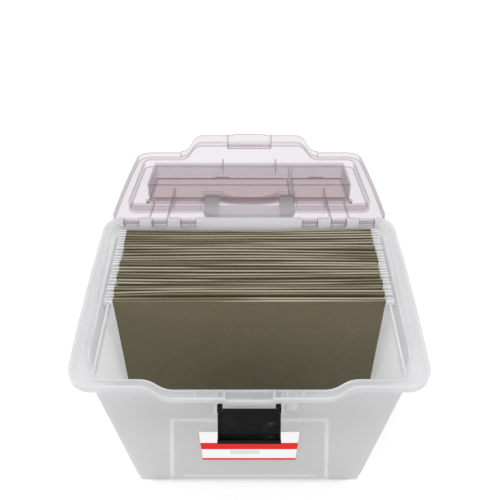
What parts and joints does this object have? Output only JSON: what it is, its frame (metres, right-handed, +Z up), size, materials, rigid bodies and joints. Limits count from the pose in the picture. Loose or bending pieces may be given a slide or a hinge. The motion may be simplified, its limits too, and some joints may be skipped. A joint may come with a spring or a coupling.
{
  "type": "portable file box",
  "caption": "Clear plastic file box for hanging letter folders, with an organizer tray lid, a folding carry handle and a front latch.",
  "frame": {"origin": "centre of the underside of the box, on the surface it stands on", "axes": "+X to the right across the width, +Y from the latch side to the hinge side, +Z up"},
  "size_m": [0.3534, 0.5053, 0.262],
  "materials": {
    "natural_polypropylene": "satin, milky translucent",
    "clear_smoke_lid": "gloss, see-through with a faint violet smoke tint",
    "latch_black": "satin gloss",
    "folder_card": "matte olive card",
    "rod_steel": "white coated steel strip",
    "label_paper": "coated paper, plain with two red bands"
  },
  "bodies": {
    "tub": {"box_body": "natural_polypropylene", "front_label": "label_paper", "folder_02": "folder_card", "folder_03": "folder_card", "folder_04": "folder_card", "folder_05": "folder_card", "folder_06": "folder_card", "folder_07": "folder_card", "folder_08": "folder_card", "folder_09": "folder_card", "folder_10": "folder_card", "folder_11": "folder_card", "folder_12": "folder_card", "folder_13": "folder_card", "folder_rods_02": "rod_steel", "folder_rods_03": "rod_steel", "folder_rods_04": "rod_steel", "folder_rods_05": "rod_steel", "folder_rods_06": "rod_steel", "folder_rods_07": "rod_steel", "folder_rods_08": "rod_steel", "folder_rods_09": "rod_steel", "folder_rods_10": "rod_steel", "folder_rods_11": "rod_steel", "folder_rods_12": "rod_steel", "folder_rods_13": "rod_steel"},
    "lid": {"lid": "clear_smoke_lid"},
    "carry_handle": {"carry_handle": "natural_polypropylene"},
    "large_cover": {"large_tray_cover": "clear_smoke_lid"},
    "small_cover": {"small_tray_cover": "clear_smoke_lid"},
    "latch": {"front_latch": "latch_black"},
    "front_folder": {"folder_01": "folder_card", "folder_rods_01": "rod_steel"}
  },
  "joints": [
    {"name": "lid_hinge", "type": "hinge", "parent": "tub", "child": "lid", "pos_m": [0, 0.112, 0.256], "axis": [1, 0, 0], "range_deg": [0, 194]},
    {"name": "handle_hinge", "type": "hinge", "parent": "lid", "child": "carry_handle", "pos_m": [0, 0.2031, 0.21834], "axis": [1, 0, 0], "range_deg": [0, 90]},
    {"name": "large_cover_hinge", "type": "hinge", "parent": "lid", "child": "large_cover", "pos_m": [0, 0.20975, 0.20576], "axis": [-1, 0, 0], "range_deg": [0, 90]},
    {"name": "small_cover_hinge", "type": "hinge", "parent": "lid", "child": "small_cover", "pos_m": [0, 0.20975, 0.20576], "axis": [-1, 0, 0], "range_deg": [0, 90]},
    {"name": "latch_hinge", "type": "hinge", "parent": "tub", "child": "latch", "pos_m": [0, -0.125, 0.2235], "axis": [-1, 0, 0], "range_deg": [0, 135]},
    {"name": "front_folder_slide", "type": "slide", "parent": "tub", "child": "front_folder", "axis": [0, 1, 0], "range_m": [-0.06, 0]}
  ]
}
